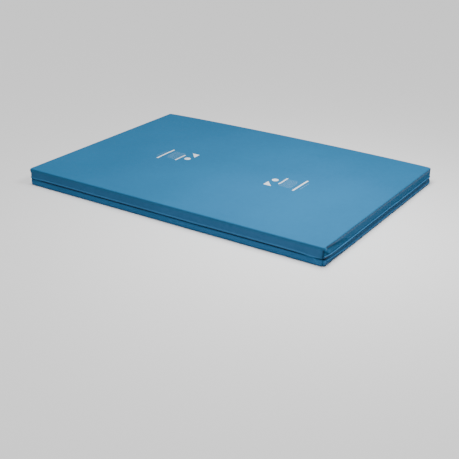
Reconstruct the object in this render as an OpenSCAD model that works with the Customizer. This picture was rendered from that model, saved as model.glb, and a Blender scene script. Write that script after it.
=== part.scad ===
// Pressure relief mattress: two bonded foam layers in a zipped, wipe-clean cover.
// Origin: middle of the underside. +X to the foot end, +Y to the left side, +Z up.
// A depth is measured inwards from the outer face of the skirt, which is the mattress's full size.

/* [Mattress] */
// Length, head to foot
mattress_length = 1900; // [1200:10:2200]
// Width, side to side
mattress_width = 1350; // [700:10:1700]
// Thickness of the foam and its cover together
mattress_thickness = 104; // [85:1:200]
// Radius of the four upright corners
corner_radius = 26; // [24:1:60]
// Radius of the roll where the top turns down into the skirt
edge_roll = 18; // [14:1:22]

/* [Cover] */
// Thickness of the coated cloth, seams included
cloth = 1.5; // [1:0.1:1.6]
// Height of the skirt's hem above the underside
hem_height = 43; // [30:1:56]
// Width of the folded hem
hem_width = 6; // [4:1:10]
// Thickness of the folded hem
hem_thickness = 2.4; // [1.8:0.1:2.8]
// Length of skirt, each way from a corner, that the corner seam holds down
corner_leg = 70; // [40:5:150]
// Depth of the borders behind the skirt
border_depth = 4; // [3.6:0.1:6]
// Room between a skirt's fold line and its free flap
flap_gap = 2; // [1.5:0.1:4]

/* [Foam] */
// Thickness of the firm base layer
base_foam = 48.5; // [30:0.5:60]
// Thickness of the adhesive film between the layers
glue = 0.3; // [0.2:0.1:1]
// Radius of the top layer's upper edge
foam_edge = 8; // [4:1:10]

/* [Zip] */
// Height of the zip's middle above the hem
zip_above_hem = 3; // [2:0.5:6]
// Height of the window between the two borders
zip_window = 14; // [12:1:20]
// Width of each tape
tape_width = 12.3; // [10:0.1:16]
// Thickness of each tape
tape = 0.8; // [0.5:0.1:1.2]
// Height of each row of teeth
teeth_height = 2.2; // [1.5:0.1:3]
// Thickness of the teeth, behind the tape
teeth_thickness = 1.6; // [1.2:0.1:2.4]
// Gap between the upper and the lower half
parting = 1.4; // [1.2:0.1:2]
// Length of the zipless stretch beside each left corner
zip_short = 12; // [5:1:60]

/* [Sliders] */
// Length of a slider along the zip
slider_length = 20; // [16:1:30]
// Height of a slider
slider_height = 12; // [9:0.5:12]
// Thickness of the slider's front plate
wing = 1.4; // [1:0.1:1.8]
// Thickness of the slider's back plate
back_wing = 1; // [0.8:0.1:1.5]
// Radius of the pull's pin
pin_radius = 0.7; // [0.5:0.05:0.8]
// Length of a pull from its pin to its tip
pull_length = 24; // [15:1:30]
// Width of a pull
pull_width = 7.6; // [6:0.2:10]
// Thickness of a pull
pull_thickness = 1.2; // [0.8:0.1:1.6]

/* [Marks] */
// Distance of the foot mark from the middle
foot_mark = 385; // [200:5:450]
// Distance of the head mark from the middle
head_mark = 365; // [200:5:450]
// How far both marks lie to the left of the centre line
mark_left = -41; // [-150:1:150]
// Thickness of the printed film
film = 0.2; // [0.1:0.1:0.5]

/* [Label] */
// Width of the blank care label
label_width = 60; // [30:1:90]
// Height of the blank care label
label_height = 24; // [15:1:26]
// Distance of the label from the middle, towards the foot
label_place = 475; // [100:5:500]

/* [Hidden] */
$fn = 64;

// Clearances
slide_gap = 0.4;
teeth_gap = 0.3;
foam_gap = 0.4;
lift_gap = 0.5;
edge_gap = 0.4;
pin_fit = 0.02;
pull_fit = 0.08;
end_gap = 0.5;
tape_gap = 2;
pin_gap = 0.2;

// Depths, from the outside in
tape_depth = border_depth + cloth;
teeth_depth = tape_depth + tape;
teeth_back = teeth_depth + teeth_thickness;
back_depth = teeth_back + teeth_gap;
foam_depth = back_depth + back_wing + foam_gap;
wing_depth = tape_depth - slide_gap - wing;

// Heights
zip_z = hem_height + zip_above_hem;
lower_edge = zip_z - parting / 2;
upper_edge = zip_z + parting / 2;
base_border_top = zip_z - zip_window / 2;
top_border_bottom = zip_z + zip_window / 2;
hem_top = hem_height + hem_width;
roll_z = mattress_thickness - edge_roll;
flap_top = roll_z - flap_gap;
// A border ends where it meets the underside of the roll
roll_inside = edge_roll - cloth;
top_border_top = roll_z + sqrt(pow(roll_inside, 2) - pow(edge_roll - border_depth, 2));
glue_z = cloth + base_foam;
// The base foam is cut back behind the zip, from just below its tape or from near its own top
foam_step = 1;
foam_rebate = min(lower_edge - tape_width - tape_gap, glue_z - foam_step);
foam_top_z = mattress_thickness - cloth - lift_gap;

// Both foam layers stand in far enough for the top one's rounded edge to clear the roll
edge_room = roll_inside - edge_gap - foam_edge;
edge_rise = roll_inside - lift_gap - foam_edge;
foam_side = max(foam_depth, edge_roll - foam_edge - sqrt(pow(edge_room, 2) - pow(edge_rise, 2)));

// Plan
half_length = mattress_length / 2;
half_width = mattress_width / 2;
corner_reach = corner_radius + corner_leg;
zip_end = half_width - corner_radius - zip_short;
miter = 100;
glue_inset = 5;

// Sliders, which meet in the middle of the head end
slider_rest = slider_length / 2 + end_gap;
stop_length = 4;
stop_height = 4;
stop_thickness = 1.2;
web_length = 6;
web_height = 0.8;
pin_depth = border_depth / 2;
ear_radius = pin_depth - slide_gap;
ear = 1.4;
pin_z = zip_z - slider_height / 2 - pin_gap;
pull_hole = 1.6;
barrel_radius = ear_radius - pin_gap;

// Marks, in their own plan: +X from the arrow to the long bar. Each bar starts at its lower left
arrow = [[-94, -98], [-44, -98], [-94, -43]];
disc = [-72, -4];
disc_radius = 19;
bar = 11;
short_bar = [-31, -46];
short_bar_length = 102;
long_bar = [80, -88];
long_bar_length = 174;
line = 3.2;
line_count = 7;
line_step = 10.5;
first_line = [-10, -70];
line_length = 118;
last_line = [108, -50];
last_line_length = 104;

label_cloth = 0.4;

cover_top_blue = [0.33, 0.58, 0.73];
cover_side_blue = [0.17, 0.4, 0.54];
base_blue = [0.14, 0.37, 0.53];

// The mattress's outline in plan, at a depth inside its outer face
module outline(depth) {
    radius = corner_radius - depth;
    square([mattress_length - 2 * corner_radius, mattress_width - 2 * depth], center = true);
    square([mattress_length - 2 * depth, mattress_width - 2 * corner_radius], center = true);
    for (x = [-1, 1], y = [-1, 1])
        translate([x * (half_length - corner_radius), y * (half_width - corner_radius)])
            circle(radius);
}

module block(depth, bottom, top) {
    translate([0, 0, bottom]) linear_extrude(top - bottom) outline(depth);
}

// Everything on one side of the mattress, out to the corners' mitres
module side(name) {
    ends = [half_length, half_width];
    turn = name == "foot" ? 0 : name == "left" ? 90 : name == "head" ? 180 : 270;
    along = name == "foot" || name == "head";
    out = along ? ends[0] : ends[1];
    half = along ? ends[1] : ends[0];
    rotate(turn) polygon([[out, -half], [out, half], [out - miter, half - miter],
                          [out - miter, miter - half]]);
}

// A wall that follows the outline, kept where its child is
module wall(depth, thickness, bottom, top) {
    translate([0, 0, bottom]) linear_extrude(top - bottom) intersection() {
        difference() {
            outline(depth);
            outline(depth + thickness);
        }
        children();
    }
}

// The head, right and foot sides, which the zip runs along
module zipped() {
    translate([-mattress_length, -mattress_width]) square([2 * mattress_length, mattress_width + zip_end]);
}

module unzipped() {
    translate([-mattress_length, zip_end]) square([2 * mattress_length, mattress_width]);
}

// A solid of revolution's profile carried round the outline: four sides and four corners
module carried_round(bottom_plate, top_plate) {
    x = half_length - corner_radius;
    y = half_width - corner_radius;
    translate([-x, -y, bottom_plate]) cube([2 * x, 2 * y, top_plate - bottom_plate]);
    for (a = [0, 180]) {
        rotate(a) translate([x, y, 0]) rotate([90, 0, 0]) linear_extrude(2 * y) children();
        rotate(a) translate([-x, y, 0]) rotate([90, 0, 90]) linear_extrude(2 * x) children();
        rotate(a) translate([x, y, 0]) rotate_extrude(angle = 90) children();
        rotate(a) translate([-x, y, 0]) rotate(90) rotate_extrude(angle = 90) children();
    }
}

module base_panel() {
    color(base_blue) block(border_depth, 0, cloth);
}

module base_border(name) {
    color(base_blue) wall(border_depth, cloth, cloth, base_border_top) side(name);
}

module foam_base() {
    color([0.95, 0.9, 0.72]) {
        block(tape_depth, cloth, foam_rebate);
        block(foam_side, foam_rebate, glue_z);
    }
}

module foam_glue() {
    color([0.85, 0.8, 0.6]) block(foam_side + glue_inset, glue_z, glue_z + glue);
}

module foam_top() {
    reach = corner_radius - foam_side;
    round_z = foam_top_z - foam_edge;
    bottom = glue_z + glue;
    color([0.93, 0.78, 0.62]) carried_round(bottom, foam_top_z) {
        union() {
            translate([0, bottom]) square([reach, round_z - bottom]);
            translate([0, bottom]) square([reach - foam_edge, foam_top_z - bottom]);
            translate([reach - foam_edge, round_z]) intersection() {
                circle(foam_edge);
                square(foam_edge);
            }
        }
    }
}

module care_label() {
    bottom = (base_border_top - label_height) / 2;
    color("white") translate([label_place, half_width - border_depth, bottom])
        cube([label_width, label_cloth, label_height]);
}

module zip_lower_tape() {
    color([0.1, 0.28, 0.42]) wall(tape_depth, tape, lower_edge - tape_width, lower_edge) zipped();
}

module zip_upper_tape() {
    color([0.1, 0.28, 0.42]) wall(tape_depth, tape, upper_edge, upper_edge + tape_width) zipped();
}

module zip_lower_teeth() {
    color([0.08, 0.22, 0.34]) wall(teeth_depth, teeth_thickness, lower_edge - teeth_height, lower_edge)
        zipped();
}

module zip_upper_teeth() {
    color([0.08, 0.22, 0.34]) wall(teeth_depth, teeth_thickness, upper_edge, upper_edge + teeth_height)
        zipped();
}

// One stop at each end of the zip, crimped on the lower tape's face
module zip_end_stops() {
    color("silver") for (x = [-1, 1])
        translate([x * (half_length - tape_depth + stop_thickness / 2), zip_end - stop_length, 0])
            translate([-stop_thickness / 2, 0, lower_edge - stop_height])
                cube([stop_thickness, stop_length, stop_height]);
}

// Cloth strips that join the base and the top cover where there is no zip
module join_lower() {
    color(base_blue) wall(tape_depth, tape, lower_edge - tape_width, lower_edge) unzipped();
}

module join_upper() {
    color(base_blue) wall(tape_depth, tape, upper_edge, upper_edge + tape_width) unzipped();
}

module top_panel() {
    color(cover_top_blue) carried_round(mattress_thickness - cloth, mattress_thickness) {
        union() {
            translate([0, mattress_thickness - cloth]) square([corner_radius - edge_roll, cloth]);
            translate([corner_radius - edge_roll, roll_z]) intersection() {
                difference() {
                    circle(edge_roll);
                    circle(roll_inside);
                }
                square(edge_roll);
            }
        }
    }
}

module top_border(name) {
    color(base_blue) wall(border_depth, cloth, top_border_bottom, top_border_top) side(name);
}

// A corner of the skirt: x is -1 at the head and 1 at the foot, y is -1 on the right and 1 on the left
module corner_area(x, y) {
    translate([x * (half_length - corner_reach / 2), y * (half_width - corner_reach / 2)])
        square(corner_reach, center = true);
}

module corner_skirt(x, y) {
    color(cover_side_blue) wall(0, cloth, hem_top, roll_z) corner_area(x, y);
}

module corner_hems() {
    color(cover_side_blue) for (x = [-1, 1], y = [-1, 1])
        wall(0, hem_thickness, hem_height, hem_top) corner_area(x, y);
}

// The straight part of a long side between its corners, of a given gap at each end
module long_flap(thickness, bottom, top, gap) {
    half = half_length - corner_reach - gap;
    color(cover_side_blue) translate([-half, 0, bottom]) cube([2 * half, thickness, top - bottom]);
}

module end_flap(thickness, bottom, top) {
    half = half_width - corner_reach - end_gap;
    color(cover_side_blue) translate([0, -half, bottom]) cube([thickness, 2 * half, top - bottom]);
}

module skirt_left() {
    translate([0, half_width - cloth, 0]) long_flap(cloth, hem_top, roll_z, 0);
}

module hem_left() {
    translate([0, half_width - hem_thickness, 0]) long_flap(hem_thickness, hem_height, hem_top, 0);
}

module skirt_right() {
    translate([0, -half_width, 0]) long_flap(cloth, hem_top, flap_top, end_gap);
}

module hem_right() {
    translate([0, -half_width, 0]) long_flap(hem_thickness, hem_height, hem_top, end_gap);
}

module skirt_head() {
    translate([-half_length, 0, 0]) end_flap(cloth, hem_top, flap_top);
}

module hem_head() {
    translate([-half_length, 0, 0]) end_flap(hem_thickness, hem_height, hem_top);
}

module skirt_foot() {
    translate([half_length - cloth, 0, 0]) end_flap(cloth, hem_top, flap_top);
}

module hem_foot() {
    translate([half_length - hem_thickness, 0, 0]) end_flap(hem_thickness, hem_height, hem_top);
}

// Flat plate with round ends, upright in the plane of the head end
module stadium(thickness) {
    straight = slider_length - slider_height;
    rotate([90, 0, 90]) linear_extrude(thickness) {
        square([straight, slider_height], center = true);
        for (s = [-1, 1]) translate([s * straight / 2, 0]) circle(d = slider_height);
    }
}

// A slider's parts, with x as the depth and y along the zip
module slider_body() {
    color("silver") difference() {
        union() {
            translate([wing_depth, 0, zip_z]) stadium(wing);
            intersection() {
                translate([back_depth, 0, zip_z]) stadium(back_wing);
                translate([back_depth, -slider_length, 0])
                    cube([back_wing, 2 * slider_length, zip_z + web_height / 2]);
            }
            translate([wing_depth, -web_length / 2, zip_z - web_height / 2])
                cube([back_depth + back_wing - wing_depth, web_length, web_height]);
            for (s = [-1, 1]) translate([0, s * (pull_width + ear + 2 * slide_gap) / 2, 0]) {
                translate([pin_depth, 0, pin_z]) rotate([90, 0, 0])
                    cylinder(r = ear_radius, h = ear, center = true);
                translate([pin_depth, -ear / 2, pin_z])
                    cube([wing_depth + wing - pin_depth, ear, ear_radius]);
            }
        }
        translate([pin_depth, 0, pin_z]) rotate([90, 0, 0])
            cylinder(r = pin_radius + pin_fit, h = slider_length, center = true);
    }
}

module pull_pin() {
    color("silver") translate([pin_depth, 0, pin_z]) rotate([90, 0, 0])
        cylinder(r = pin_radius, h = pull_width + 2 * ear + 2 * slide_gap, center = true);
}

module pull_tab() {
    tip = pull_width / 2;
    color("silver") translate([pin_depth, 0, pin_z]) difference() {
        union() {
            rotate([90, 0, 0]) cylinder(r = barrel_radius, h = pull_width, center = true);
            rotate([90, 0, 90]) translate([0, 0, -pull_thickness / 2]) linear_extrude(pull_thickness) {
                translate([-tip, tip - pull_length]) square([pull_width, pull_length - tip]);
                translate([0, tip - pull_length]) circle(tip);
            }
        }
        rotate([90, 0, 0]) cylinder(r = pin_radius + pull_fit, h = 2 * pull_width, center = true);
        translate([0, 0, tip - pull_length]) rotate([0, 90, 0])
            cylinder(r = pull_hole, h = 2 * pull_width, center = true);
    }
}

module at_slider(s) {
    translate([-half_length, s * slider_rest, 0]) children();
}

// Printed mark: an arrowhead, a disc, two bars, a block of fine lines and a thin line
module mark() {
    color("white") translate([0, 0, mattress_thickness]) linear_extrude(film) {
        polygon(arrow);
        translate(disc) circle(disc_radius);
        translate(short_bar) square([bar, short_bar_length]);
        for (i = [0 : line_count - 1])
            translate(first_line + [i * line_step, 0]) square([line, line_length]);
        translate(long_bar) square([bar, long_bar_length]);
        translate(last_line) square([line, last_line_length]);
    }
}

module mark_foot() {
    translate([foot_mark, mark_left, 0]) mark();
}

module mark_head() {
    translate([-head_mark, mark_left, 0]) rotate(180) mark();
}

base_panel();
base_border("right");  // base_border_right
base_border("left");  // base_border_left
base_border("head");  // base_border_head
base_border("foot");  // base_border_foot
foam_base();
foam_glue();
foam_top();
care_label();
zip_lower_tape();
zip_lower_teeth();
zip_end_stops();
join_lower();
top_panel();
top_border("right");  // top_border_right
top_border("left");  // top_border_left
top_border("head");  // top_border_head
top_border("foot");  // top_border_foot
zip_upper_tape();
zip_upper_teeth();
join_upper();
mark_head();
mark_foot();
corner_skirt(-1, -1);  // corner_head_right
corner_skirt(-1, 1);  // corner_head_left
corner_skirt(1, -1);  // corner_foot_right
corner_skirt(1, 1);  // corner_foot_left
corner_hems();
skirt_left();
hem_left();
skirt_right();
hem_right();
skirt_head();
hem_head();
skirt_foot();
hem_foot();
at_slider(1) slider_body();  // slider_left
at_slider(-1) slider_body();  // slider_right
at_slider(1) pull_pin();  // pin_left
at_slider(-1) pull_pin();  // pin_right
at_slider(1) pull_tab();  // pull_left
at_slider(-1) pull_tab();  // pull_right
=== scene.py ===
"""The looks of a double pressure relief mattress, built round its CAD frame, in metres."""
import math

import bpy
import numpy as np
from mathutils import Matrix, Vector


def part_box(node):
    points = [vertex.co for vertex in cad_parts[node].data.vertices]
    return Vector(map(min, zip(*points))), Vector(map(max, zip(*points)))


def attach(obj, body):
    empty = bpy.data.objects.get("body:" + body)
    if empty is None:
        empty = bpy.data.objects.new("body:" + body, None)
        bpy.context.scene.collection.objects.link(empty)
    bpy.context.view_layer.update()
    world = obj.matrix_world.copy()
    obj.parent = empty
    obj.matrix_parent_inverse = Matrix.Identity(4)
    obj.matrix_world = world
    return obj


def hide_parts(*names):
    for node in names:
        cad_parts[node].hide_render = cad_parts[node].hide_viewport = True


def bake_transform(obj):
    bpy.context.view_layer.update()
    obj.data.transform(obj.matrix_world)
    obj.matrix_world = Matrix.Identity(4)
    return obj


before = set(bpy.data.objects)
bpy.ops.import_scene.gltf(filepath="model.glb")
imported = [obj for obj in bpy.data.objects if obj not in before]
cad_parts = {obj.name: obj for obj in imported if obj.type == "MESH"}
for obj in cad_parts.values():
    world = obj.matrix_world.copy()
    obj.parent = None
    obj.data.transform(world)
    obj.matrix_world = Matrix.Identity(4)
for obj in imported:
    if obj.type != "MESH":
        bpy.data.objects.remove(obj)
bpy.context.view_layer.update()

# ---- Sizes from the frame ----
top_low, top_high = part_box("top_panel")
hem_low, hem_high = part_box("hem_right")
border_low, border_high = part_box("base_border_right")
inner_low, inner_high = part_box("top_border_right")
lower_tape_low, lower_tape_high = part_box("zip_lower_tape")
upper_tape_low, upper_tape_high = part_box("zip_upper_tape")
lower_teeth_low, lower_teeth_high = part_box("zip_lower_teeth")
upper_teeth_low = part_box("zip_upper_teeth")[0]
firm_low, firm_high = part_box("foam_base")
soft_low, soft_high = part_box("foam_top")
label_low, label_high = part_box("care_label")

LENGTH = top_high.x - top_low.x
WIDTH = top_high.y - top_low.y
TOP = top_high.z
ROLL_Z = top_low.z
ROLL = TOP - ROLL_Z
HEM = hem_low.z
HEM_TOP = hem_high.z
BORDER_TOP = border_high.z
BORDER_EDGE = BORDER_TOP - 0.0024  # where its fold ends, under the zip's tape
BORDER_DEPTH = border_low.y - top_low.y
TAPE_DEPTH = lower_tape_low.y - top_low.y
TEETH_DEPTH = lower_teeth_low.y - top_low.y
ZIP_END = lower_teeth_high.y
FOAM_DEPTH = soft_low.y - top_low.y

CORNER = 0.026  # room that an upright corner takes
SQUARE = 5.0  # how square a corner is: 2 is round, and more is squarer
CLOTH = 0.0008  # coated cloth as it shows
HEM_CLOTH = 0.0022  # three layers of it, folded
CAP = 0.05  # the grids of the flat top and underside start this far in
FLAT_INSETS = (CORNER, 0.036, CAP)  # of the rings between a rounded edge and its grid
ARC_STEPS = 16
SIDES = ("foot", "left", "head", "right")
FOOT_RIGHT, HEAD_RIGHT = 0, 3  # corners, each by the number of the side that starts there
ZIPPED = ("foot", "head", "right")
LIFTING = {side: f"{side}_skirt" for side in ZIPPED}


# ---- Plan of the mattress ----
def spaced(run):
    """Places along a straight run from 0 to 1, closest together at its ends."""
    near, fine, wide = 0.06, 0.15, 0.014
    start = np.concatenate([np.arange(0, near, 0.0025), np.arange(near, fine, 0.005)])
    middle = np.linspace(fine, run - fine, round((run - 2 * fine) / wide) + 1)
    return np.concatenate([start, middle, (run - start)[::-1]]) / run


def squared(turn):
    """A corner's direction at a turn in radians, pushed out towards a square corner."""
    parts = (0.0 if abs(v) < 1e-9 else v for v in (math.cos(turn), math.sin(turn)))
    return tuple(math.copysign(abs(v) ** (2 / SQUARE), v) for v in parts)


def stations():
    """Points round the outline from the foot-right corner's seam, anticlockwise.

    Each has its corner's centre or its foot on the straight run, its reach from there to the outer
    face, its outward direction, its side, its way along the side, and the side's whole way."""
    x, y = LENGTH / 2 - CORNER, WIDTH / 2 - CORNER
    centres = [(x, -y), (x, y), (-x, y), (-x, -y)]
    rows = []
    for k, centre in enumerate(centres):
        following = centres[(k + 1) % 4]
        run = math.dist(centre, following)
        level = math.pi / 2 * k
        first, second = [], []
        for i in range(1, ARC_STEPS // 2 + 1):
            for part, turn in ((first, level - math.pi / 4 * (1 - 2 * i / ARC_STEPS)),
                               (second, level + math.pi / 2 * i / ARC_STEPS)):
                reach = squared(turn)
                out = np.sign(reach) * np.abs(reach) ** (SQUARE - 1)
                base = centre if part is first else following
                part.append((base, reach, out / np.linalg.norm(out)))
        straight = []
        n = (round(math.cos(level)), round(math.sin(level)))
        for f in spaced(run)[1:]:
            spot = [centre[i] + (following[i] - centre[i]) * f for i in (0, 1)]
            straight.append((spot, n, np.array(n, float)))
        whole = first + straight + second
        at = np.array([np.add(b, CORNER * np.array(r)) for b, r, _ in whole])
        seam = np.add(centre, CORNER * np.array(squared(level - math.pi / 4)))
        steps = np.linalg.norm(np.diff(np.vstack([seam, at]), axis=0), axis=1)
        along = np.cumsum(steps)
        rows += [(*row, k, a, along[-1]) for row, a in zip(whole, along)]
    names = ("base", "reach", "out", "side", "along", "span")
    return {name: np.array(list(column)) for name, column in zip(names, zip(*rows))}


PLAN = stations()
COUNT = len(PLAN["side"])
OUTWARD = np.column_stack([PLAN["out"], np.zeros(COUNT)])
SIDE_STARTS = np.array([0, 1.35, 3.25, 4.6])  # how far round the outline each side starts, about
AROUND = PLAN["along"] + SIDE_STARTS[PLAN["side"]]
AFTER, BEFORE = PLAN["along"], PLAN["span"] - PLAN["along"]
NEAR = np.where(AFTER <= BEFORE, AFTER, -BEFORE)  # way past a corner's seam, or less than 0 before
NEAR_CORNER = np.where(AFTER <= BEFORE, PLAN["side"], (PLAN["side"] + 1) % 4)


def on_side(side):
    return PLAN["side"] == SIDES.index(side)


def side_length(side):
    return PLAN["span"][on_side(side)].max()


def ring(depth, rounded=False):
    """The outline at a depth for each station. Past the corners' centres it shrinks to the middle.
    Its corners are squared, or true arcs where it is rounded."""
    depth = np.broadcast_to(np.asarray(depth, float), (COUNT,))
    reach = PLAN["reach"]
    if rounded:
        reach = reach / np.linalg.norm(reach, axis=1)[:, None]
    at = PLAN["base"] + reach * (CORNER - np.minimum(depth, CORNER))[:, None]
    half = np.array([LENGTH / 2, WIDTH / 2])
    shrink = (half - np.maximum(depth, CORNER)[:, None]) / (half - CORNER)
    return at * shrink


def smooth(low, high, x):
    """A soft step from 0 at low to 1 at high."""
    t = np.clip((x - low) / (high - low), 0, 1)
    return t * t * (3 - 2 * t)


def bump(x, width):
    """1 at 0, and fading away over a width."""
    return np.exp(-((np.asarray(x) / width) ** 2))


def waves(x, y, sizes, seed):
    """A slow, uneven wave between about -1 and 1, the same each time."""
    draw = np.random.default_rng(seed)
    total = np.zeros(np.broadcast(x, y).shape)
    for size in sizes:
        turn, phase = draw.uniform(0, math.pi), draw.uniform(0, 2 * math.pi)
        total += np.sin((x * math.cos(turn) + y * math.sin(turn)) * 2 * math.pi / size + phase)
    return total / len(sizes)


def fold(s, z, start, end, width):
    """1 along a straight fold in a side's face, from start to end, fading over a width."""
    start, end = np.array(start), np.array(end)
    way = end - start
    t = np.clip(((s - start[0]) * way[0] + (z - start[1]) * way[1]) / (way @ way), 0, 1)
    gap = np.hypot(s - start[0] - t * way[0], z - start[1] - t * way[1])
    return bump(gap, width) * (1 - 0.5 * t)


# ---- The cover's shape ----
CORNER_LIFT = (-0.001, -0.006, -0.005, -0.003)  # of the top at each corner
LEFT_LIFT = 0.006  # of the middle of the left edge
CROWN = 0.004
# For the foot, left, head and right sides:
ROLL_SQUARE = (4.4, 3.8, 3.8, 4.8)
FLARE = (0.0003, 0.0005, 0.0005, 0.0004)  # of the skirt, outwards
SHOULDER = (0.003, 0.0012, 0.0016, 0.0012)  # over the hem's fold
HEM_HIGHLIGHT = (1.0, 0.4, 0.4, 0.45)  # a painted highlight on the hem's shoulder, how strong
HEM_HIGHLIGHT_UP = (0.0036, 0.0058, 0.0058, 0.0058)  # the painted highlight's height above the hem's edge


def lift(x, y):
    """How far the top stands above its nominal height at a place in plan."""
    u, v = x / LENGTH + 0.5, y / WIDTH + 0.5
    foot_right, foot_left, head_left, head_right = CORNER_LIFT
    corners = (foot_right * u + head_right * (1 - u)) * (1 - v)
    corners = corners + (foot_left * u + head_left * (1 - u)) * v
    hump = (1 - (2 * u - 1) ** 2).clip(0) ** 0.7
    left = (LEFT_LIFT - (foot_left + head_left) / 2) * hump * v**2
    middle = CROWN * hump * (1 - (2 * v - 1) ** 2).clip(0) ** 0.7
    slow = 0.0011 * waves(x, y, (0.62, 0.37, 0.23, 0.16), 12)
    gap = np.minimum(LENGTH / 2 - np.abs(x), WIDTH / 2 - np.abs(y)).clip(0)
    return corners + left + middle + slow * smooth(0, 0.06, gap)


def by_side(values):
    return np.array(values)[PLAN["side"]]


def at_corner(corner):
    return (NEAR_CORNER == corner).astype(float)


def cover_folds(z):
    """How far the folds and puckers of the cover's corners stand out at a height."""
    seam = np.choose(NEAR_CORNER, [0.0076, 0.003, 0.004, 0.002])
    place = np.choose(NEAR_CORNER, [-0.005, 0.0, 0.0, 0.001])
    out = -seam * bump(NEAR - place, 0.0058) * smooth(TOP - 0.006, ROLL_Z - 0.006, z)
    s, first = NEAR, at_corner(FOOT_RIGHT)
    ridge = fold(s, z, (0.004, 0.096), (0.058, 0.056), 0.0044)
    hollow = fold(s, z, (0.001, 0.082), (0.03, 0.052), 0.006)
    under = fold(s, z, (0.026, 0.094), (0.23, 0.064), 0.0095)
    out = out + first * (s > 0) * (0.0046 * ridge - 0.0058 * hollow - 0.0056 * under)
    crease = fold(s, z, (-0.006, 0.05), (-0.045, 0.043), 0.006)
    return out - first * (s < 0) * 0.0042 * crease


def cover_painted_light(z):
    """How much lighter the cover's colour is painted: a painted highlight on its ridges and the hem's
    shoulder, and painted shade in its folds and on its turned edge.
    """
    # painted highlight along the hem's shoulder, and on the foot a painted shade line just above it
    hem_light_and_shade = by_side(HEM_HIGHLIGHT) * bump(z - (HEM + by_side(HEM_HIGHLIGHT_UP)), 0.0021)
    hem_light_and_shade = hem_light_and_shade - 0.3 * on_side("foot") * bump(z - (HEM_TOP + 0.003), 0.0024)
    # painted shade on the turned edge, where the top rolls over into the skirt
    turned = -0.34 * smooth(TOP - 0.0015, TOP - 0.007, z) * smooth(ROLL_Z - 0.001, ROLL_Z + 0.001, z)
    # painted shade in the corner folds and seam grooves, painted highlight on their ridges
    folds = 75 * cover_folds(z) * smooth(TOP - 0.0005, TOP - 0.004, z)
    return np.clip(folds + hem_light_and_shade + turned, -0.5, 1.0)


def cover_swell(z):
    """How far the cover stands out from its nominal face at a height."""
    low = smooth(ROLL_Z + 0.006, HEM, z)
    slow = waves(AROUND, 0, (0.9, 0.55, 0.31), 3)
    quick = waves(AROUND + 0.7 * z, 0, (0.16, 0.11, 0.23), 5)
    out = (0.0011 * slow + 0.0005 * quick) * low
    out = out + by_side(FLARE) * smooth(HEM + 0.017, HEM, z)
    out = out + by_side(SHOULDER) * smooth(HEM_TOP + 0.0012, HEM + 0.0026, z)
    out = out + cover_folds(z)
    out = out + 0.0016 * bump(np.abs(NEAR) - 0.03, 0.018) * low
    last = at_corner(HEAD_RIGHT)
    puff = bump(NEAR, 0.03) * bump(z - 0.087, 0.013)
    notch = bump(NEAR, 0.02) * bump(z - 0.071, 0.004)
    return out + last * (0.0034 * puff - 0.002 * notch)


def cover_drop(z):
    """How far the skirt's cloth hangs below its nominal height."""
    low = smooth(ROLL_Z, HEM, z)
    drop = 0.0010 * waves(AROUND, 0, (1.3, 0.7, 0.42), 9)
    droop = 0.0052 * bump(NEAR + 0.062, 0.05) * at_corner(FOOT_RIGHT) * (NEAR < 0)
    droop = droop - 0.0095 * bump(NEAR - 0.004, 0.045) * at_corner(FOOT_RIGHT) * (NEAR > 0)
    droop = droop + 0.0030 * bump(NEAR - 0.05, 0.05) * at_corner(HEAD_RIGHT) * (NEAR > 0)
    return low * (drop + droop)


HEM_RINGS = 6
SKIRT_RINGS = 15
ROLL_RINGS = 13


def cover_rings():
    """The top cover's profile as depths and heights, ring by ring: up the hem and the skirt, over
    the roll and in to the flat top."""
    rings = [(0, z) for z in np.linspace(HEM, HEM_TOP, HEM_RINGS + 1)]
    rings += [(0, z) for z in np.linspace(HEM_TOP, ROLL_Z, SKIRT_RINGS + 1)[1:]]
    power = 2 / by_side(ROLL_SQUARE)
    for a in np.linspace(0, math.pi / 2, ROLL_RINGS + 1)[1:-1]:
        rings.append((ROLL * (1 - math.cos(a) ** power), ROLL_Z + ROLL * math.sin(a) ** power))
    return rings + [(d, TOP) for d in (ROLL, *FLAT_INSETS)]


def cover_shape(depth, z):
    out = cover_swell(z) * (1 - smooth(ROLL_Z + 0.01, TOP, z))
    x, y = (ring(depth) + PLAN["out"] * out[:, None]).T
    rise = lift(x, y) * smooth(HEM, TOP, z) - cover_drop(z)
    return np.stack([x, y, z + rise, cover_painted_light(z)], axis=1)


def cover_cap(x, y):
    return np.stack([x, y, TOP + lift(x, y), 0 * x], axis=1)


# ---- The base cover's shape ----
BULGE = 0.0026  # of the base border between its seams
FLATTER_HEAD = 0.0023  # less bulge than that along the head
BORDER_RINGS = 16


def border_depth(z):
    """The depth of the base border's outer face at a height. It bulges past its seams, but lies
    flat at the head, where the zip's pulls hang."""
    t = (BORDER_EDGE - z) / BORDER_EDGE
    flat = on_side("head") * smooth(0, 0.03, np.abs(NEAR))
    bulge = BULGE - FLATTER_HEAD * flat
    return BORDER_DEPTH - bulge * math.sin(math.pi * min(1, max(0, 0.03 + 0.97 * t))) ** 0.5


def base_rings():
    """The base cover's profile from the top of the border down, round the edge and under."""
    points = [(TAPE_DEPTH, BORDER_EDGE - 0.0006), (BORDER_DEPTH + 0.0006, BORDER_EDGE)]
    for t in np.linspace(0, 1, BORDER_RINGS):
        z = BORDER_EDGE - 0.0008 - (BORDER_EDGE - 0.0038) * t
        points.append((border_depth(z), z))
    points += [(0.0042, 0.0016), (0.005, 0.0007), (0.0072, 0.0002), (0.012, 0.0001)]
    return points + [(d, 0.0) for d in FLAT_INSETS]


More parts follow.
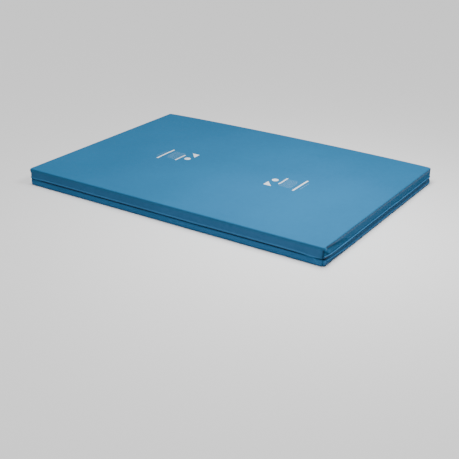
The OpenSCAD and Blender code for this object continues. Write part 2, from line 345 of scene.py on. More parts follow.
def base_shape(depth, z):
    body = np.sin(math.pi * np.clip(z / BORDER_TOP, 0, 1))
    slow = waves(AROUND, 0, (0.7, 0.4, 0.27), 21)
    quick = waves(AROUND + 0.8 * z, 3 * z, (0.12, 0.075, 0.19), 23)
    out = (0.0007 * slow + 0.0004 * quick) * body
    out = np.where(on_side("head"), np.minimum(out, 0), out)
    seam = np.choose(NEAR_CORNER, [0.0062, -0.0015, 0.001, -0.0005])
    out = out - seam * bump(NEAR + 0.005, 0.005) * (1 - smooth(0.006, CORNER, depth))
    s, first = NEAR, at_corner(FOOT_RIGHT)
    long_fold = fold(s, z, (0.022, 0.027), (0.26, 0.008), 0.0036)
    hollow = fold(s, z, (0.03, 0.018), (0.2, 0.004), 0.004)
    tuck = fold(s, z, (-0.052, 0.036), (-0.03, 0.014), 0.005)
    folds = first * ((s > 0) * (0.0026 * long_fold - 0.0022 * hollow) + (s < 0) * 0.0024 * tuck)
    foot = on_side("foot")
    crest = np.interp(PLAN["along"], (0, 0.041, 0.224, WIDTH), (0.028, 0.024, 0.0115, 0.013))
    belly = 0.003 * smooth(0.05, 0.4, PLAN["along"]) * smooth(0.03, 0.008, z)
    folds = folds + foot * (0.0009 * bump(z - crest, 0.004) + belly * (1 - smooth(0.006, CORNER, depth)))
    shadow = 0.35 * smooth(BORDER_EDGE - 0.0042, BORDER_EDGE - 0.0008, z)
    shadow = np.maximum(shadow, 0.38 * foot * smooth(crest + 0.001, crest + 0.007, z))
    # painted shade in the border's fold hollows and along the corners' seams, painted highlight on the
    # fold ridges
    tone = 140 * (folds - foot * belly) - 50 * seam * bump(NEAR + 0.005, 0.005)
    # a painted highlight along the foot's fold crest, less the painted shadow
    tone = np.clip(tone + 0.12 * foot * bump(z - crest, 0.003) - shadow, -0.6, 0.6)
    x, y = (ring(depth) + PLAN["out"] * (out + folds)[:, None]).T
    return np.stack([x, y, z, tone], axis=1)


def base_cap(x, y):
    return np.stack([x, y, 0 * x, 0 * x], axis=1)


# ---- Whole surfaces and the pieces cut from them ----
def merged(points, faces, tags):
    """The points with doubles joined, less the faces that this closes up."""
    keys = np.round(points[:, :3] * 2e5).astype(np.int64)
    _, first, back = np.unique(keys, axis=0, return_index=True, return_inverse=True)
    kept, kept_tags = [], []
    for face, tag in zip(back.ravel()[faces], tags):
        corners = [int(c) for i, c in enumerate(face) if c != face[i - 1]]
        if len(set(corners)) == len(corners) and len(corners) > 2:
            kept.append(corners)
            kept_tags.append(tag)
    return points[first], kept, np.array(kept_tags)


def normals_of(points, faces):
    """Smooth outward directions at the points."""
    total = np.zeros_like(points)
    for size in (3, 4):
        some = np.array([f for f in faces if len(f) == size], int).reshape(-1, size)
        a, b, c, d = points[some[:, 0]], points[some[:, 1]], points[some[:, 2]], points[some[:, -1]]
        n = np.cross(c - a, d - b) if size == 4 else np.cross(b - a, c - a)
        for k in range(size):
            np.add.at(total, some[:, k], n)
    return total / np.maximum(np.linalg.norm(total, axis=1), 1e-12)[:, None]


def grid_faces(rows, wide, start=0):
    """The faces of a grid of points that are listed row by row."""
    corners = [start + r * wide + c for r in range(rows - 1) for c in range(wide - 1)]
    return [(a, a + 1, a + wide + 1, a + wide) for a in corners]


def wrapped(rings, shape, cap, flip):
    """A whole cover: rings round the outline joined to a grid. A face's tags are its ring and its
    station, or -1 and -1 on the grid."""
    made = [shape(*(np.full(COUNT, v) for v in profile)) for profile in rings]
    edge = ring(rings[-1][0])
    xs, ys = (np.unique(np.round(edge[:, k], 7)) for k in (0, 1))
    gx, gy = np.meshgrid(xs, ys)
    points = np.concatenate(made + [cap(gx.ravel(), gy.ravel())])
    faces, tags = [], []
    for k in range(len(rings) - 1):
        for j in range(COUNT):
            i = (j + 1) % COUNT
            faces.append((k * COUNT + j, k * COUNT + i, (k + 1) * COUNT + i, (k + 1) * COUNT + j))
            tags.append((k, i))
    middle = grid_faces(len(ys), len(xs), len(rings) * COUNT)
    tags += [(-1, -1)] * len(middle)
    faces = np.array(faces + middle)[:, :: -1 if flip else 1]
    points, faces, tags = merged(points, faces, tags)
    points, painted_tones = points[:, :3], points[:, 3]
    normals = normals_of(points, faces)
    return {"points": points, "painted_tones": painted_tones, "faces": faces, "tags": tags, "normals": normals}


def placed(name, data):
    """An object with the data, in the scene at the origin."""
    o = bpy.data.objects.new(name, data)
    bpy.context.scene.collection.objects.link(o)
    return o


def new_object(name, points, faces, material, normals=None):
    """A mesh object in place, smooth shaded, with its own normals where they are given."""
    mesh = bpy.data.meshes.new(name)
    mesh.from_pydata([tuple(p) for p in points], [], [tuple(f) for f in faces])
    mesh.polygons.foreach_set("use_smooth", [True] * len(mesh.polygons))
    if normals is not None:
        mesh.normals_split_custom_set([tuple(n) for n in normals])
    mesh.update()
    mesh.materials.append(material)
    return placed(name, mesh)


def cloth_piece(name, whole, keep, thickness, material):
    """The kept faces of a whole surface, made thick inwards, with the whole's own normals."""
    faces = [whole["faces"][i] for i in np.flatnonzero(keep)]
    used = np.unique(np.concatenate([np.array(f) for f in faces]))
    back = {int(v): i for i, v in enumerate(used)}
    faces = [[back[v] for v in f] for f in faces]
    outer, n = whole["points"][used], whole["normals"][used]
    size = len(used)
    edges = {(f[i - 1], f[i]) for f in faces for i in range(len(f))}
    rim = [(b, a, a + size, b + size) for a, b in sorted(edges) if (b, a) not in edges]
    points = np.concatenate([outer, outer - n * thickness])
    directions = np.concatenate([n, -n])
    every = faces + [[v + size for v in reversed(f)] for f in faces]
    normals = [directions[v] for f in every for v in f]
    for f in rim:
        across = np.cross(points[f[1]] - points[f[0]], points[f[3]] - points[f[0]])
        normals += [across / max(np.linalg.norm(across), 1e-12)] * 4
    piece = new_object(name, points, every + rim, material, normals)
    # the tone attribute holds the painted shade and painted highlight
    if "painted_tones" in whole:
        painted_tones = piece.data.attributes.new("tone", "FLOAT", "POINT")
        painted_tones.data.foreach_set("value", np.tile(whole["painted_tones"][used], 2))
    return piece


def whole_cloth(name, points, faces, thickness, material, normals=None):
    """A surface of its own as a piece of cloth."""
    normals = normals_of(points, faces) if normals is None else normals
    whole = {"points": points, "faces": faces, "normals": normals}
    return cloth_piece(name, whole, np.ones(len(faces), bool), thickness, material)


def strip(name, depth, bottom, top, stations_kept, thickness, material, swell=0.0006, rows=6, seed=1):
    """An upright strip of cloth round part of the outline, slightly uneven, as a closed solid."""
    kept = np.flatnonzero(stations_kept)
    if stations_kept[0] and stations_kept[-1]:  # the part runs over the first station
        gap = int(np.flatnonzero(~stations_kept)[-1]) if (~stations_kept).any() else -1
        kept = np.concatenate([np.arange(gap + 1, COUNT), kept[kept <= gap]])
    rings = []
    plan = ring(depth, rounded=True)
    room = np.linalg.norm(ring(0) - plan, axis=1)
    for t in np.linspace(0, 1, rows + 1):
        z = bottom + (top - bottom) * t
        uneven = swell * waves(AROUND, 3 * z, (0.33, 0.19, 0.11), seed) * math.sin(math.pi * t)
        tuck = np.clip(cover_swell(z + 0 * AROUND) + room - 0.0018, depth - FOAM_DEPTH + 0.0012, 0)
        at = (plan + PLAN["out"] * (uneven + tuck)[:, None])[kept]
        rings.append(np.column_stack([at, np.full(len(kept), z)]))
    faces = grid_faces(rows + 1, len(kept))
    return whole_cloth(name, np.concatenate(rings), faces, thickness, material)


# ---- Materials ----
class Nodes:
    """A material's node tree, with short calls for its nodes."""

    def __init__(self, name):
        self.material = bpy.data.materials.new(name)
        self.material.use_nodes = True
        self.tree = self.material.node_tree
        self.shader = self.tree.nodes["Principled BSDF"]

    def add(self, kind, **settings):
        node = self.tree.nodes.new(kind)
        for key, value in settings.items():
            if key in node.inputs:
                node.inputs[key].default_value = value
            else:
                setattr(node, key, value)
        return node

    def link(self, a, b):
        self.tree.links.new(a, b)

    def math(self, operation, a, b=None):
        node = self.add("ShaderNodeMath", operation=operation)
        for k, value in enumerate((a, b)):
            if isinstance(value, (int, float)):
                node.inputs[k].default_value = value
            elif value is not None:
                self.link(value, node.inputs[k])
        return node.outputs[0]

    def place(self):
        return self.add("ShaderNodeTexCoord").outputs["Object"]

    def noise(self, scale, detail=4.0, roughness=0.5):
        node = self.add("ShaderNodeTexNoise", Scale=scale, Detail=detail, Roughness=roughness)
        self.link(self.place(), node.inputs["Vector"])
        return node.outputs["Fac"]

    def ramp(self, value, low, high, low_at=0.0, high_at=1.0):
        node = self.add("ShaderNodeValToRGB")
        ends = node.color_ramp.elements
        ends[0].position, ends[1].position = low_at, high_at
        ends[0].color, ends[1].color = (*low, 1), (*high, 1)
        self.link(value, node.inputs["Fac"])
        return node.outputs["Color"]

    def span(self, value, low, high):
        node = self.add("ShaderNodeMapRange", **{"To Min": low, "To Max": high})
        self.link(value, node.inputs["Value"])
        return node.outputs["Result"]

    def attribute(self, name):
        return self.add("ShaderNodeAttribute", attribute_name=name).outputs["Fac"]

    def deepened(self, colour, tone, share):
        """The colour made lighter by painted highlight or deeper by painted shade from the tone, each
        channel by its own share of it.
        """
        part = self.add("ShaderNodeVectorMath", operation="SCALE")
        part.inputs[0].default_value = share
        self.link(tone, part.inputs["Scale"])
        whole = self.add("ShaderNodeVectorMath", operation="MULTIPLY_ADD")
        for source, socket in zip((part.outputs[0], colour, colour), whole.inputs):
            self.link(source, socket)
        return whole.outputs[0]

    def lattice(self, pitch):
        """Fine ribs on any face: the sum of a sine along each axis."""
        parts = self.add("ShaderNodeSeparateXYZ")
        self.link(self.place(), parts.inputs[0])
        total = None
        for axis in parts.outputs:
            wave = self.math("SINE", self.math("MULTIPLY", axis, 2 * math.pi / pitch))
            total = wave if total is None else self.math("ADD", total, wave)
        return total

    def bump(self, heights):
        """Bumps in a chain, each as height, distance in metres and strength."""
        normal = None
        for height, distance, strength in heights:
            node = self.add("ShaderNodeBump", Distance=distance, Strength=strength)
            self.link(height, node.inputs["Height"])
            if normal is not None:
                self.link(normal, node.inputs["Normal"])
            normal = node.outputs["Normal"]
        self.link(normal, self.shader.inputs["Normal"])

    def colour(self, value):
        self.link(value, self.shader.inputs["Base Color"])

    def rough(self, value):
        self.link(value, self.shader.inputs["Roughness"])

    def set(self, **values):
        for key, value in values.items():
            self.shader.inputs[key.replace("_", " ")].default_value = value


KNIT = 0.0011  # between the ribs of the knit


def shade(colour, factor):
    return tuple(min(1, c * factor) for c in colour)


def coated_cloth(
    name, colour, rough=(0.5, 0.62), shine=0.02, sheen=0.0, vary=0.07, share=(1, 1, 1)
):
    """Stretch knit under a thin satin coating: a fine rib, soft creases and uneven gloss. Its tone
    attribute, which holds painted shade and painted highlight, moves each colour channel by its share."""
    n = Nodes(name)
    slow = n.math("MULTIPLY", n.noise(2.3, 3), 0.65)
    tone = n.math("ADD", slow, n.math("MULTIPLY", n.noise(38, 5), 0.35))
    mottled = n.ramp(tone, shade(colour, 1 - vary), shade(colour, 1 + vary), 0.36, 0.64)
    # the mottled colour deepened by painted shade and lightened by painted highlight from the tone
    # attribute
    n.colour(n.deepened(mottled, n.attribute("tone"), share))
    n.rough(n.span(n.noise(9, 4), *rough))
    n.set(Sheen_Weight=sheen, Sheen_Roughness=0.45, Sheen_Tint=(0.55, 0.8, 1, 1))
    n.set(Specular_IOR_Level=shine)
    creases, fine = (n.noise(6, 3), 0.005, 0.12), (n.noise(55, 4, 0.6), 0.0007, 0.25)
    n.bump([creases, fine, (n.lattice(KNIT), 0.00006, 0.5)])
    return n.material


def foam(name, dark, light, pore):
    """Open-cell foam: fine pores, a few large ones and slight yellowing."""
    n = Nodes(name)
    n.colour(n.ramp(n.noise(3, 4), dark, light, 0.3, 0.7))
    n.set(Roughness=0.95, Sheen_Weight=0.3, Sheen_Roughness=0.6, Specular_IOR_Level=0.2)
    cells = n.add("ShaderNodeTexVoronoi", Scale=1 / pore)
    n.link(n.place(), cells.inputs["Vector"])
    n.bump([(n.noise(40, 3), 0.0008, 0.3), (cells.outputs["Distance"], pore / 3, 0.6)])
    return n.material


def woven(name, colour, pitch, rough=0.8):
    """Woven tape, label or thread: fine ribs with a slightly uneven colour."""
    n = Nodes(name)
    n.colour(n.ramp(n.noise(260, 3), shade(colour, 0.82), colour, 0.38, 0.62))
    n.rough(n.span(n.noise(120, 3), rough - 0.07, rough + 0.07))
    n.set(Sheen_Weight=0.2, Specular_IOR_Level=0.3)
    n.bump([(n.lattice(pitch), pitch / 8, 0.8)])
    return n.material


def moulded(name, colour, rough):
    """Moulded nylon or dried adhesive, with a slight grain."""
    n = Nodes(name)
    n.colour(n.ramp(n.noise(25, 3), shade(colour, 0.88), colour, 0.4, 0.6))
    n.rough(n.span(n.noise(400, 2), rough - 0.06, rough + 0.06))
    n.bump([(n.noise(900, 2), 0.00005, 0.3)])
    return n.material


def plated(name):
    """Nickel-plated zinc: polished, with faint rub marks."""
    n = Nodes(name)
    n.colour(n.ramp(n.noise(80, 4), (0.43, 0.44, 0.46), (0.63, 0.64, 0.65), 0.3, 0.7))
    n.set(Metallic=1.0)
    n.rough(n.span(n.noise(600, 3), 0.22, 0.38))
    n.bump([(n.noise(1500, 2), 0.00003, 0.4)])
    return n.material


def printed(name, ink, worn, amount):
    """A thin transfer: worn away in specks, with the cloth's rib in it."""
    n = Nodes(name)
    n.colour(n.ramp(n.noise(240, 5, 0.65), worn, ink, amount - 0.08, amount + 0.06))
    n.rough(n.span(n.noise(60, 3), 0.42, 0.56))
    n.bump([(n.lattice(KNIT), 0.00005, 0.4)])
    return n.material


# each colour channel's share of the top cloth's painted shade and painted highlight
TOP_PAINTED_LIGHT_SHARE = (0.4, 1, 1)
TOP_CLOTH = coated_cloth(
    "top cloth", (0.023, 0.15, 0.308), (0.44, 0.54), 0.05, 0.01, 0.05, TOP_PAINTED_LIGHT_SHARE
)
# Copies of the top cloth made darker as painted shade for the upright sides: the ends' copy darker still
# and less glossy, the hem's a little lighter as a painted highlight.
SHADED_SKIRT_CLOTH = coated_cloth("skirt cloth", (0.03, 0.113, 0.236))
SHADED_END_CLOTH = coated_cloth("skirt cloth with deeper painted shade", (0.019, 0.108, 0.226), shine=0.012)
SHADED_HEM_CLOTH = coated_cloth("hem cloth", (0.03, 0.122, 0.25))
BORDER_CLOTH = coated_cloth("border cloth", (0.03, 0.134, 0.285))
BASE_CLOTH = coated_cloth("base cloth", (0.01, 0.06, 0.13), (0.6, 0.7))
FIRM_FOAM = foam("firm foam", (0.76, 0.71, 0.53), (0.86, 0.81, 0.63), 0.0016)
SOFT_FOAM = foam("soft foam", (0.8, 0.55, 0.33), (0.9, 0.65, 0.42), 0.0012)
GLUE = moulded("dried adhesive", (0.66, 0.57, 0.33), 0.4)
# the zip tape's own dark navy, deepened further as painted shade in the gap under the hem
SHADED_TAPE = woven("zip tape", (0.009, 0.036, 0.082), 0.0008)
COIL = moulded("zip coil", (0.006, 0.03, 0.07), 0.4)
METAL = plated("plated metal")
INK = printed("printed ink", (0.82, 0.88, 0.92), (0.3, 0.5, 0.66), 0.4)
FAINT_INK = printed("faint printed ink", (0.16, 0.34, 0.55), (0.06, 0.2, 0.36), 0.46)
LABEL = woven("label cloth", (0.84, 0.84, 0.8), 0.0006, 0.7)
THREAD = woven("sewing thread", (0.03, 0.17, 0.33), 0.0005, 0.6)


# ---- Cover pieces ----
cover = wrapped(cover_rings(), cover_shape, cover_cap, False)
base = wrapped(base_rings(), base_shape, base_cap, True)
cover_ring, cover_station = cover["tags"].T
base_ring, base_station = base["tags"].T
SKIRT_END = HEM_RINGS + SKIRT_RINGS
BORDER_END = BORDER_RINGS + 4  # the border's cloth goes on round the bottom edge, up to this ring


def finished(piece, slot, body, *nodes):
    if body:
        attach(piece, body)
    if nodes:
        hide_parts(*nodes)


top_cloth = cloth_piece(
    "top_panel_cloth", cover, (cover_ring < 0) | (cover_ring >= SKIRT_END), CLOTH, TOP_CLOTH
)
finished(top_cloth, "top_cloth", "top_cover", "top_panel")


def halves(side):
    """The parts that a side's skirt is made in, and the ending of each part's name."""
    return (("first", "_first"), ("second", "_second")) if side in LIFTING else ((None, ""),)


def part_of(side, half=None):
    """The stations of a side, or of its first or second half."""
    before = PLAN["along"] <= PLAN["span"] / 2
    return on_side(side) & {None: True, "first": before, "second": ~before}[half]


def carry(piece, side):
    """Puts a piece of skirt that does not lift on the top cover's body; a lifting piece only has its place
    baked into its points.
    """
    if side not in LIFTING:
        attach(piece, "top_cover")
        return
    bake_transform(piece)


STOOD_FOR = {  # the corner pieces that each part of the skirt's cloth stands for
    ("right", "first"): ["corner_head_right"],
    ("right", "second"): ["corner_foot_right"],
    ("left", None): ["corner_head_left", "corner_foot_left"],
}


def skirts():
    for side in SIDES:
        for half, tail in halves(side):
            here = (cover_ring >= 0) & part_of(side, half)[cover_station]
            rows = here & (cover_ring >= HEM_RINGS) & (cover_ring < SKIRT_END)
            # the ends take the copy with the deepest painted shade
            look = SHADED_END_CLOTH if side in ("foot", "head") else SHADED_SKIRT_CLOTH
            cloth = cloth_piece(f"skirt_{side}_cloth{tail}", cover, rows, CLOTH, look)
            rows = here & (cover_ring < HEM_RINGS)
            hem = cloth_piece(f"hem_{side}_fold{tail}", cover, rows, HEM_CLOTH, SHADED_HEM_CLOTH)
            carry(cloth, side)
            carry(hem, side)
            finished(cloth, "skirt_cloth", None, f"skirt_{side}", *STOOD_FOR.get((side, half), []))
            finished(hem, "hem_cloth", None, f"hem_{side}", "corner_hems")


skirts()


def base_cover():
    keep = (base_ring < 0) | (base_ring >= BORDER_END)
    panel = cloth_piece("base_panel_cloth", base, keep, CLOTH, BASE_CLOTH)
    finished(panel, "base_cloth", "base", "base_panel")
    for side in SIDES:
        keep = (base_ring >= 0) & (base_ring < BORDER_END) & on_side(side)[base_station]
        piece = cloth_piece(f"base_border_{side}_cloth", base, keep, CLOTH, BORDER_CLOTH)
        finished(piece, "border_cloth", "base", f"base_border_{side}")


base_cover()


def inner_strips():
    """The borders, tapes and joins behind the skirt."""
    for side in SIDES:
        name = f"top_border_{side}"
        piece = strip(f"{name}_cloth", BORDER_DEPTH, inner_low.z, inner_high.z, on_side(side), CLOTH,
                      BORDER_CLOTH, 0.0005, 10, 31 + SIDES.index(side))
        finished(piece, "border_cloth", "top_cover", name)
    zipped = ring(TAPE_DEPTH)[:, 1] <= ZIP_END + 0.001
    around = float(side_length("right") + 2 * (ZIP_END + WIDTH / 2))
    for level, body, low, high in (
        ("lower", "base", lower_tape_low, lower_tape_high),
        ("upper", "top_cover", upper_tape_low, upper_tape_high),
    ):
        for name, on, look, slot, long in (
            (f"zip_{level}_tape", zipped, SHADED_TAPE, "zip_cloth", around),
            (f"join_{level}", ~zipped, BORDER_CLOTH, "border_cloth", LENGTH),
        ):
            piece = strip(f"{name}_cloth", TAPE_DEPTH, low.z, high.z, on, 0.0007, look, 0.0001, 4)
            finished(piece, slot, body, name)


inner_strips()


# ---- Foam ----
UNCUT = 0.14  # the uncut rim round the top foam's cells
SLIT = 0.003  # half the width of a slit between cells
SLIT_DEPTH = 0.03  # of each slit
CELL_EDGE = 0.006  # how far a cell's rounded edge reaches
CELLS = (18, 12)


def cell_pitch(size, count):
    return (size - 2 * UNCUT) / count


def cut_depth(x, y, cells):
    """How far a cut foam top sinks at the slits and rounded edges of its cells."""
    sink = np.zeros(x.shape)
    for value, size, count in ((x, LENGTH, cells[0]), (y, WIDTH, cells[1])):
        pitch = cell_pitch(size, count)
        inside = np.abs(value) <= size / 2 - UNCUT + SLIT
        gap = np.abs((value + size / 2 - UNCUT + pitch / 2) % pitch - pitch / 2)
        sunk = SLIT_DEPTH * (1 - smooth(SLIT * 0.35, SLIT, gap)) + 0.003 * bump(gap, CELL_EDGE)
        sink = np.maximum(sink, np.where(inside, sunk, 0))
    beside = np.maximum(np.abs(x) - LENGTH / 2, np.abs(y) - WIDTH / 2)
    return np.where(beside <= SLIT - UNCUT, sink, 0)


def foam_grid(lines, size, count):
    """Grid lines along one way: close together at the slits, and few in between."""
    pitch = cell_pitch(size, count)
    cuts = -size / 2 + UNCUT + pitch * np.arange(count + 1)
    offsets = np.array([-0.02, -0.008, -1.4 * SLIT, -SLIT, -0.4 * SLIT])
    offsets = np.concatenate([offsets, -offsets[::-1]])
    every = np.concatenate([(cuts[:, None] + offsets).ravel(), cuts[:-1] + pitch / 2, lines])
    return np.unique(np.round(every, 5))


def round_corners(x, y, x1, y1, radius):
    """A grid's square corners drawn in to arcs, each line of points round a corner in turn."""
    a = np.abs(x) - (x1 - radius)
    b = np.abs(y) - (y1 - radius)
    inside = (a > 0) & (b > 0)
    pull = np.where(inside, np.maximum(a, b) / np.maximum(np.hypot(a, b), 1e-9), 1)
    return (np.where(inside, np.sign(x) * (x1 - radius + a * pull), x),
            np.where(inside, np.sign(y) * (y1 - radius + b * pull), y))


def foam_block(name, depth, bottom, top, top_edge, follow, material, cells=None):
    """A foam layer: a closed block with soft edges, whose top follows the cover where asked."""
    x1, y1, corner = LENGTH / 2 - depth, WIDTH / 2 - depth, CORNER - depth
    rim = top_edge * (1 - np.cos(np.linspace(0, math.pi / 2, 6)))
    rim = np.concatenate([rim, np.linspace(0, corner, 7)])
    lines = []
    for half, size, count in ((x1, LENGTH, 0), (y1, WIDTH, 1)):
        ends = np.concatenate([-half + rim, half - rim])
        if cells:
            lines.append(foam_grid(ends, size, cells[count]))
        else:
            lines.append(np.unique(np.round(np.concatenate([ends, np.linspace(-half, half, 60)]), 5)))
        lines[-1] = lines[-1][np.abs(lines[-1]) <= half + 1e-6]
    gx, gy = np.meshgrid(*lines)
    inset = np.minimum(x1 - np.abs(gx), y1 - np.abs(gy)).clip(0)
    gx, gy = round_corners(gx, gy, x1, y1, corner)
    z = top - top_edge + np.sqrt((top_edge**2 - (top_edge - np.minimum(inset, top_edge)) ** 2).clip(0))
    if follow:
        z = z + lift(gx, gy) - 0.0005
    if cells:
        z = z - cut_depth(gx, gy, cells)
    uneven = 0.0003 * waves(gx, gy, (0.09, 0.05), 44)
    upper = np.stack([gx, gy, z + uneven * (inset > 0)], axis=-1).reshape(-1, 3)
    lower = np.stack([gx, gy, 0 * gx + bottom], axis=-1).reshape(-1, 3)
    rows, wide = gx.shape
    size = rows * wide
    faces = []
    for a, b, c, d in grid_faces(rows, wide):
        faces += [(a, b, c, d), (a + size, d + size, c + size, b + size)]
    at = np.arange(size).reshape(rows, wide)
    rim = np.concatenate([at[0], at[1:, -1], at[-1, -2::-1], at[-2:0:-1, 0]]).tolist()
    faces += [(b, a, a + size, b + size) for a, b in zip(rim, rim[1:] + rim[:1])]
    return new_object(name, np.concatenate([upper, lower]), faces, material)


def foams():
    soft = foam_block("foam_top_block", FOAM_DEPTH, soft_low.z, soft_high.z, 0.008, True, SOFT_FOAM, CELLS)
    finished(soft, "soft_foam", "base", "foam_top")
    firm = foam_block("foam_base_block", FOAM_DEPTH, firm_low.z, firm_high.z, 0.001, False, FIRM_FOAM)
    finished(firm, "firm_foam", "base", "foam_base")


foams()

# ---- Rows that repeat: stitches and the zip's coil ----
STITCH = (0.0026, 0.0004, 0.0004)
STITCH_PITCH = 0.0036


def row_maker():
    """A node group that puts rounded pieces along a line: stitches, or the turns of a coil."""
    group = bpy.data.node_groups.new("row", "GeometryNodeTree")
    group.interface.new_socket("Geometry", in_out="INPUT", socket_type="NodeSocketGeometry")
    for name, kind in (("Pitch", "Float"), ("Size", "Vector"), ("Material", "Material")):
        group.interface.new_socket(name, in_out="INPUT", socket_type=f"NodeSocket{kind}")
    group.interface.new_socket("Geometry", in_out="OUTPUT", socket_type="NodeSocketGeometry")
    made = {}
    for key, kind in {
        "in": "NodeGroupInput", "out": "NodeGroupOutput", "curve": "GeometryNodeMeshToCurve",
        "spread": "GeometryNodeResampleCurve", "ball": "GeometryNodeMeshIcoSphere",
        "shade": "GeometryNodeSetShadeSmooth", "put": "GeometryNodeInstanceOnPoints",
        "tangent": "GeometryNodeInputTangent", "turn": "FunctionNodeAlignRotationToVector",
        "real": "GeometryNodeRealizeInstances", "paint": "GeometryNodeSetMaterial",
    }.items():
        made[key] = group.nodes.new(kind)
    made["spread"].mode = "LENGTH"
    made["ball"].inputs["Radius"].default_value = 0.5
    made["ball"].inputs["Subdivisions"].default_value = 1
    made["turn"].axis = "X"
    made["turn"].pivot_axis = "Z"
    for way in (
        "in.Geometry curve.Mesh", "curve.Curve spread.Curve", "in.Pitch spread.Length",
        "spread.Curve put.Points", "ball.Mesh shade.Geometry", "shade.Geometry put.Instance",
        "tangent.Tangent turn.Vector", "turn.Rotation put.Rotation", "in.Size put.Scale",
        "put.Instances real.Geometry", "real.Geometry paint.Geometry",
        "in.Material paint.Material", "paint.Geometry out.Geometry",
    ):
        (a, out), (b, into) = (end.split(".") for end in way.split())
        group.links.new(made[a].outputs[out], made[b].inputs[into])
    return group


ROW = row_maker()


def row(name, lines, pitch=STITCH_PITCH, size=STITCH, material=THREAD):
    """A plain mesh of pieces of the given size, one every pitch along the lines."""
    mesh = bpy.data.meshes.new(name)
    points, edges = [], []
    for line in lines:
        edges += [(len(points) + i, len(points) + i + 1) for i in range(len(line) - 1)]
        points += [tuple(p) for p in line]
    mesh.from_pydata(points, edges, [])
    source = placed(f"{name}_line", mesh)
    maker = source.modifiers.new("row", "NODES")
    maker.node_group = ROW
    values = {"Pitch": pitch, "Size": size, "Material": material}
    for item in ROW.interface.items_tree:
        if item.in_out == "INPUT" and item.name in values:
            maker[item.identifier] = values[item.name]
    made = source.evaluated_get(bpy.context.evaluated_depsgraph_get())
    plain = bpy.data.meshes.new_from_object(made)
    plain.name = name
    bpy.data.objects.remove(source)
    bpy.data.meshes.remove(mesh)
    return placed(name, plain)


COIL_TURN = (0.001, 0.0019, 0.0027)
COIL_PITCH = 0.0024
COIL_OFF = 0.0014  # each coil's middle is this far above or below the zip's
COIL_IN = 0.0008  # and this far behind the outer face of its teeth


def line_off(points, gap, on=slice(None)):
    """The chosen stations' points, set out from the cloth by a gap."""
    return (points + OUTWARD * gap)[on]


def skirt_stitches():
    z = np.full(COUNT, HEM_TOP - 0.0011)
    points = cover_shape(np.zeros(COUNT), z)[:, :3]
    for side in SIDES:
        for half, tail in halves(side):
            line = line_off(points, 0.00012, part_of(side, half))
            carry(row(f"hem_{side}_stitches{tail}", [line]), side)


def border_line(z):
    """The base border's outer face at a height."""
    return base_shape(border_depth(z), np.full(COUNT, z))[:, :3]


def border_stitches():
    lines = [line_off(border_line(z), 0.0001) for z in (BORDER_EDGE - 0.003, 0.006)]
    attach(row("base_border_stitches", lines), "base")
    flat = np.column_stack([ring(BORDER_DEPTH, rounded=True), np.full(COUNT, inner_low.z + 0.0025)])
    lines = [line_off(flat, 0.0003)]
    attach(row("top_border_stitches", lines), "top_cover")


def zip_coils():
    """Turns of nylon coil along each half of the zip, over its core."""
    middle = (lower_teeth_high.z + upper_teeth_low.z) / 2
    plan = ring(TEETH_DEPTH + COIL_IN, rounded=True)
    order = np.flatnonzero(plan[:, 1] <= ZIP_END)
    start = np.argmax(plan[order, 1] * (plan[order, 0] < 0))
    order = np.roll(order, -start)  # from the head's left end, round to the foot's
    for level, body, up in (("lower", "base", -1), ("upper", "top_cover", 1)):
        line = np.column_stack([plan[order], np.full(len(order), middle + COIL_OFF * up)])
        if up > 0:  # its turns sit between those of the lower coil
            way = line[1] - line[0]
            line[0] = line[0] + way / np.linalg.norm(way) * COIL_PITCH / 2
        coil = row(f"zip_{level}_coil", [line], COIL_PITCH, COIL_TURN, COIL)
        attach(coil, body)


def care_label():
    """A blank woven label, sewn on along its top edge and curling a little at the bottom."""
    across, down = 13, 9
    left = on_side("left")
    rows = []
    for t in np.linspace(0, 1, down):
        z = label_high.z - (label_high.z - label_low.z) * t
        face = border_line(z)[left]
        xs = np.linspace(label_low.x, label_high.x, across)
        y = np.interp(xs, face[::-1, 0], face[::-1, 1])
        curl = 0.0005 + 0.0022 * t**2.5 * (1 + 0.5 * np.sin(xs * 90))
        rows.append(np.column_stack([xs[::-1], y[::-1] + curl[::-1], np.full(across, z)]))
    faces = grid_faces(down, across)
    label = whole_cloth("care_label_cloth", np.concatenate(rows[::-1]), faces, 0.00035, LABEL)
    finished(label, "label_cloth", "base", "care_label")
    edge = rows[0] + np.array([0, 0.0001, -0.0018])
    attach(row("care_label_stitches", [edge], 0.0026, (0.0019, 0.0003, 0.0003), LABEL), "base")


skirt_stitches()
border_stitches()
zip_coils()
care_label()


# ---- Printed marks ----
INK_OFF = 0.00022  # the print stands this far off the cloth
INK_GRID = 0.012  # and bends with it in squares of about this size
MARK_REACH = 0.1112  # from a mark's own origin to the end of its thin line
MARK_SIDE = 0.098  # and to its side


def patch(u, v, w, h):
    """A rectangle of print as a grid of points and faces, from its lower left."""
    nu, nv = (max(2, math.ceil(side / INK_GRID) + 1) for side in (w, h))
    gu, gv = np.meshgrid(np.linspace(u, u + w, nu), np.linspace(v, v + h, nv))
    return np.column_stack([gu.ravel(), gv.ravel()]), grid_faces(nv, nu)


def disc(u, v, radius, rings=3, sides=32):
    points, faces = [(u, v)], []
    for k in range(1, rings + 1):
        for i in range(sides):
            a = 2 * math.pi * i / sides
            points.append((u + radius * k / rings * math.cos(a), v + radius * k / rings * math.sin(a)))
    for i in range(sides):
        j = (i + 1) % sides
        faces.append((0, 1 + i, 1 + j))
        for k in range(rings - 1):
            a = 1 + k * sides
            faces.append((a + i, a + sides + i, a + sides + j, a + j))
    return np.array(points), faces


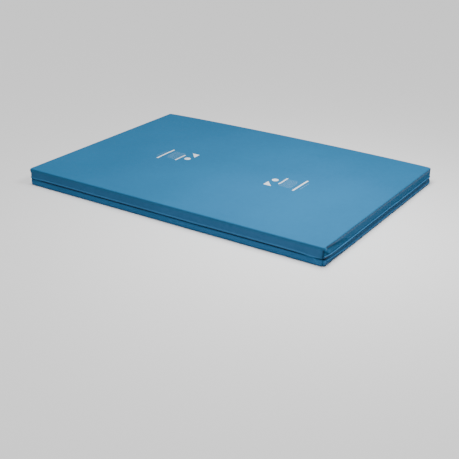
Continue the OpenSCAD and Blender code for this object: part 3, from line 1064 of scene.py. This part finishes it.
def arrowhead(corners, parts=6):
    a, b, c = (np.array(p, float) for p in corners)
    points, faces, index = [], [], {}
    for i in range(parts + 1):
        for j in range(parts + 1 - i):
            index[i, j] = len(points)
            points.append(a + (b - a) * i / parts + (c - a) * j / parts)
    for i in range(parts):
        for j in range(parts - i):
            faces.append((index[i, j], index[i + 1, j], index[i, j + 1]))
            if i + j < parts - 1:
                faces.append((index[i + 1, j], index[i + 1, j + 1], index[i, j + 1]))
    return np.array(points), faces


def word_lines(seed):
    """Fine lines broken up like small print, which reads as nothing."""
    draw = np.random.default_rng(seed)
    parts = []
    for i in range(7):
        v, end = -0.070 + 0.002 * draw.uniform(0, 1), 0.048 - 0.03 * (i == 6)
        while v < end:
            size = draw.uniform(0.006, 0.019)
            parts.append(patch(-0.010 + 0.0105 * i, v, 0.0032, min(size, end - v)))
            v += size + draw.uniform(0.002, 0.0035)
    return parts


def mark(name, place, turned, seed):
    """The printed mark, laid on the cover's top: its bold parts, and its small print."""
    bold = [
        arrowhead([(-0.094, -0.098), (-0.044, -0.098), (-0.094, -0.043)]),
        disc(-0.072, -0.004, 0.019),
        patch(0.080, -0.088, 0.011, 0.174),
    ]
    bold += [patch(-0.031, -0.046 + 0.0128 * i, 0.011, 0.0108) for i in range(8)]
    small = word_lines(seed) + [patch(0.108, -0.050 + 0.021 * i, 0.0032, 0.017) for i in range(5)]
    for tail, parts, look in (("", bold, INK), ("_small_print", small, FAINT_INK)):
        points, faces = [], []
        for flat, some in parts:
            faces += [tuple(v + len(points) for v in f) for f in some]
            points += [tuple(p) for p in flat]
        flat = np.array(points) * (-1 if turned else 1) + np.array(place)
        z = TOP + lift(*flat.T) + INK_OFF
        up = np.tile([0.0, 0.0, 1.0], (len(flat), 1))
        points = np.column_stack([flat, z])
        piece = whole_cloth(f"{name}{tail}_ink", points, faces, INK_OFF / 2, look, up)
        finished(piece, "print_ink", "top_cover", name)


def marks():
    """A mark at each end, the head's turned round, in the place of its node."""
    low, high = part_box("mark_foot")
    mark("mark_foot", (high.x - MARK_REACH, low.y + MARK_SIDE), False, 6)
    low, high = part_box("mark_head")
    mark("mark_head", (low.x + MARK_REACH, high.y - MARK_SIDE), True, 7)


marks()


# ---- CAD nodes that show as they are ----
LOOKS = {
    "foam_glue": GLUE, "zip_lower_teeth": COIL, "zip_upper_teeth": COIL, "zip_end_stops": METAL
}
LOOKS |= {f"{part}_{side}": METAL for part in ("slider", "pin", "pull") for side in ("left", "right")}
for node, look in LOOKS.items():
    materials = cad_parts[node].data.materials
    materials.clear()
    materials.append(look)


# ---- Stage ----
def camera():
    """A long lens above the foot-right corner, turned a little about its own axis."""
    data = bpy.data.cameras.new("camera")
    cam = placed("camera", data)
    data.sensor_width = 36
    data.lens = 68.81
    data.clip_end = 100
    cam.location = (2.577, -4.030, 1.845)
    heading, down, roll = math.radians(122.745), math.radians(24.075), math.radians(0.78)
    ahead = Vector((math.cos(heading), math.sin(heading), -math.tan(down))).normalized()
    right = Vector((math.sin(heading), -math.cos(heading), 0))
    up = right.cross(ahead)
    across = right * math.cos(roll) + up * math.sin(roll)
    upward = up * math.cos(roll) - right * math.sin(roll)
    cam.rotation_euler = Matrix((across, upward, -ahead)).transposed().to_euler()
    bpy.context.scene.camera = cam


def lamp(name, kind, place, aim, power, **settings):
    data = bpy.data.lights.new(name, kind)
    data.energy = power
    for key, value in settings.items():
        setattr(data, key, value)
    o = placed(name, data)
    o.location = place
    o.rotation_euler = (Vector(aim) - Vector(place)).to_track_quat("-Z", "Y").to_euler()


def stage():
    world = bpy.data.worlds.new("studio")
    bpy.context.scene.world = world
    world.use_nodes = True
    back = world.node_tree.nodes["Background"]
    back.inputs["Color"].default_value = (1, 1, 1, 1)
    back.inputs["Strength"].default_value = 0.15
    look = Nodes("pale floor")
    look.set(Base_Color=(0.88, 0.88, 0.88, 1), Roughness=1)
    r = 45
    square = [(-r, -r, 0), (r, -r, 0), (r, r, 0), (-r, r, 0)]
    floor = new_object("floor", square, [(0, 1, 2, 3)], look.material)
    floor.location.z = -0.0005
    lamp("overhead", "SUN", (0.1, -0.36, 4), (0, 0, 0), 3.2, angle=math.radians(32))
    lamp("foot end", "AREA", (0.74, -0.3, 1.6), (0.74, -0.3, 0), 29, shape="DISK", size=0.9)


camera()
stage()
